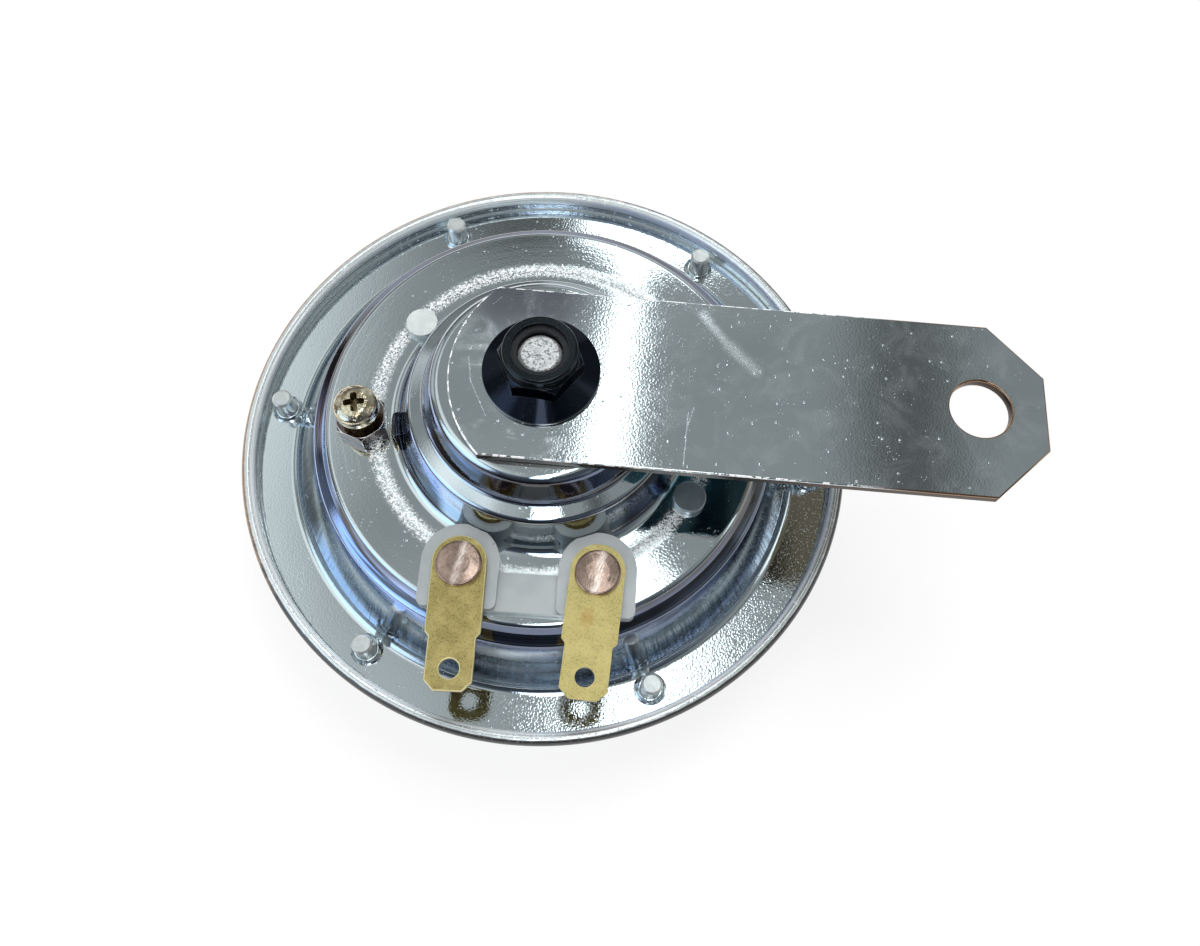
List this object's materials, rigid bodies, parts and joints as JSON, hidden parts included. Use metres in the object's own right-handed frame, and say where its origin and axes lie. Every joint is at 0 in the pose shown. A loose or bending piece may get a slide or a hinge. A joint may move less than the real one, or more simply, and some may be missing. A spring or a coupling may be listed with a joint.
{
  "type": "disc horn",
  "caption": "Electric disc horn for a vehicle: round pressed shell with a flat mounting bracket, blade terminals and an adjusting screw on its back, and a slotted front.",
  "frame": {"origin": "on the disc's axis, in the plane of the front face that the horn lies on", "axes": "+Z out of the back, +X along the mounting bracket to its hole; the blade terminals point to -Y"},
  "size_m": [0.1136, 0.092, 0.0404],
  "materials": {
    "bright_chrome": "mirror, light orange peel at the bends",
    "zinc_steel": "dull silver",
    "plain_steel": "turned or stamped, plain",
    "spring_steel": "rolled",
    "contact_metal": "ground",
    "black_steel": "glossy black",
    "black_nylon": "moulded",
    "milky_nylon": "milky, slightly see-through",
    "enamelled_copper": "wound wire, enamelled",
    "brown_fibre": "hard fibre",
    "gasket_rubber": "matte",
    "yellow_zinc": "yellow passivated zinc",
    "brass_sheet": "stamped, speckled",
    "copper": "copper, scratched"
  },
  "bodies": {
    "housing": {"back_shell": "bright_chrome", "front_cover": "bright_chrome", "rim_screws": "zinc_steel", "front_gasket": "gasket_rubber", "rear_gasket": "gasket_rubber", "diaphragm": "spring_steel", "centre_stud": "plain_steel", "flange_nut": "black_steel", "nut_locking_ring": "black_nylon", "coil_bobbin": "milky_nylon", "coil_winding": "enamelled_copper", "pole_plate": "plain_steel", "plate_rivet": "zinc_steel", "contact_stack_rivet": "zinc_steel", "contact_insulators": "brown_fibre", "fixed_contact_arm": "plain_steel", "fixed_contact_point": "contact_metal", "adjuster_lock_nut": "yellow_zinc", "terminal_insulator": "milky_nylon", "left_terminal": "brass_sheet", "right_terminal": "brass_sheet", "terminal_rivets": "copper", "terminal_fibre_washers": "brown_fibre"},
    "bracket": {"mounting_bracket": "bright_chrome"},
    "armature": {"armature": "plain_steel", "diaphragm_washer": "zinc_steel", "tone_disc": "plain_steel", "tone_disc_nut": "zinc_steel"},
    "contact_spring": {"moving_contact_spring": "spring_steel", "moving_contact_point": "contact_metal"},
    "adjusting_screw": {"adjusting_screw": "yellow_zinc"}
  },
  "joints": [
    {"name": "bracket_swivel", "type": "hinge", "parent": "housing", "child": "bracket", "pos_m": [0, 0, 0.03335], "axis": [0, 0, 1], "continuous": true},
    {"name": "armature_travel", "type": "slide", "parent": "housing", "child": "armature", "axis": [0, 0, 1], "range_m": [0, 0.0004], "stiffness_N_per_m": 20000, "deforming": ["diaphragm"]},
    {"name": "contact_spring_flex", "type": "hinge", "parent": "housing", "child": "contact_spring", "pos_m": [-0.0196, 0.0128, 0.01735], "axis": [-0.5468, -0.8373, 0], "range_deg": [0, 1.5]},
    {"name": "adjusting_screw_turn", "type": "hinge", "parent": "housing", "child": "adjusting_screw", "pos_m": [-0.0258, -0.0038, 0.024], "axis": [0, 0, 1], "range_deg": [-90, 90]}
  ],
  "couplings": [
    {"joint": "contact_spring_flex", "follows": "armature_travel", "rad_per_m": 63.254}
  ]
}
